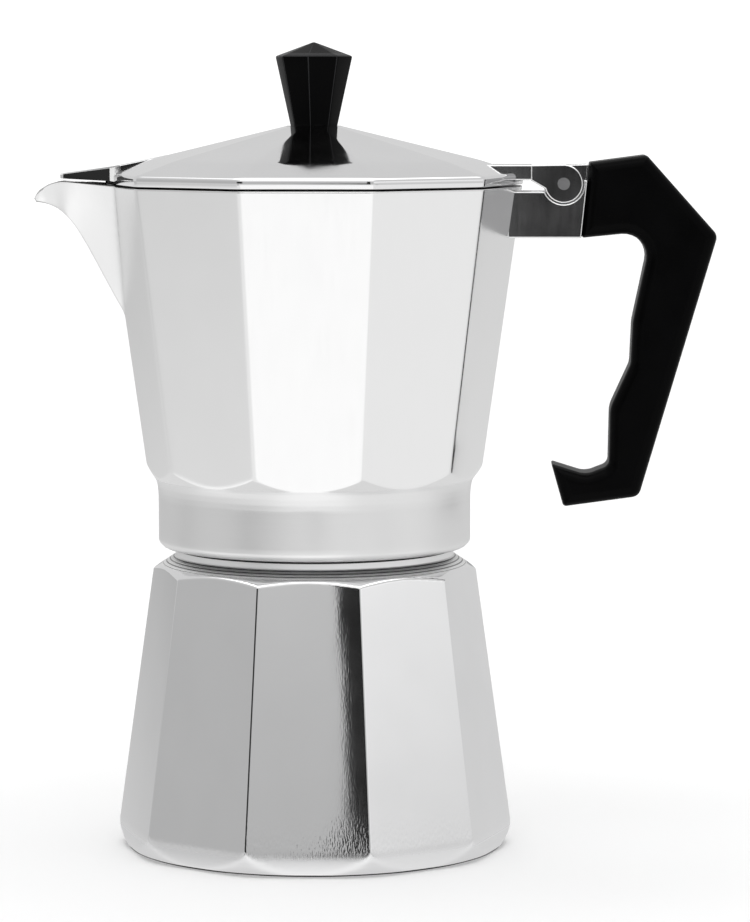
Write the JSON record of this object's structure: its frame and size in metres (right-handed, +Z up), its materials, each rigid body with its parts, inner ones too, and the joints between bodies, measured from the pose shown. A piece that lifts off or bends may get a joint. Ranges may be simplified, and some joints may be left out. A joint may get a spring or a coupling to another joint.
{
  "type": "moka pot",
  "caption": "Ten-sided aluminium stovetop coffee maker: a boiler that unscrews from a spouted jug, with a hinged lid, a black handle and a black knob.",
  "frame": {"origin": "centre of the boiler's flat base, on the pot's own axis", "axes": "+Z up along the pot's axis, +X towards the handle, -X towards the spout, +Y towards the safety valve"},
  "size_m": [0.1773, 0.1038, 0.21],
  "materials": {
    "satin_aluminium": "polished facets with faint vertical polishing lines, slightly hazy",
    "polished_aluminium": "satin-polished facets above, brushed round skirt below",
    "lid_aluminium": "bright polished",
    "plain_aluminium": "pressed sheet, matte",
    "brass": "turned",
    "copper": "soft copper washer",
    "steel": "turned steel",
    "seal_rubber": "off-white food-grade rubber",
    "black_plastic": "satin moulded heat-proof plastic"
  },
  "bodies": {
    "boiler": {"boiler": "satin_aluminium", "valve_body": "brass", "valve_washer": "copper", "valve_spring": "steel", "valve_retainer": "brass", "funnel": "plain_aluminium", "funnel_sieve": "plain_aluminium"},
    "seal": {"gasket": "seal_rubber", "filter_plate": "plain_aluminium"},
    "collector": {"collector": "polished_aluminium", "riser": "plain_aluminium", "hinge_pin": "steel", "handle": "black_plastic", "handle_screw": "steel"},
    "lid": {"lid": "lid_aluminium", "knob": "black_plastic", "knob_insert": "brass", "knob_washer": "steel", "knob_screw": "steel"},
    "valve": {"valve_piston": "steel"}
  },
  "joints": [
    {"name": "seal_lift", "type": "slide", "parent": "boiler", "child": "seal", "axis": [0, 0, 1], "range_m": [0, 0.00751]},
    {"name": "collector_turn", "type": "hinge", "parent": "seal", "child": "collector", "pos_m": [0, 0, 0.085], "axis": [0, 0, 1], "range_deg": [0, 900]},
    {"name": "lid_hinge", "type": "hinge", "parent": "collector", "child": "lid", "pos_m": [0.0647, 0, 0.1736], "axis": [0, 1, 0], "range_deg": [0, 95]},
    {"name": "valve_slide", "type": "slide", "parent": "boiler", "child": "valve", "axis": [0, 1, 0], "range_m": [0, 0.0015], "stiffness_N_per_m": 2000, "springref_m": -0.0025, "deforming": ["valve_spring"]}
  ],
  "couplings": [
    {"joint": "seal_lift", "follows": "collector_turn", "m_per_rad": 0.00047746}
  ]
}
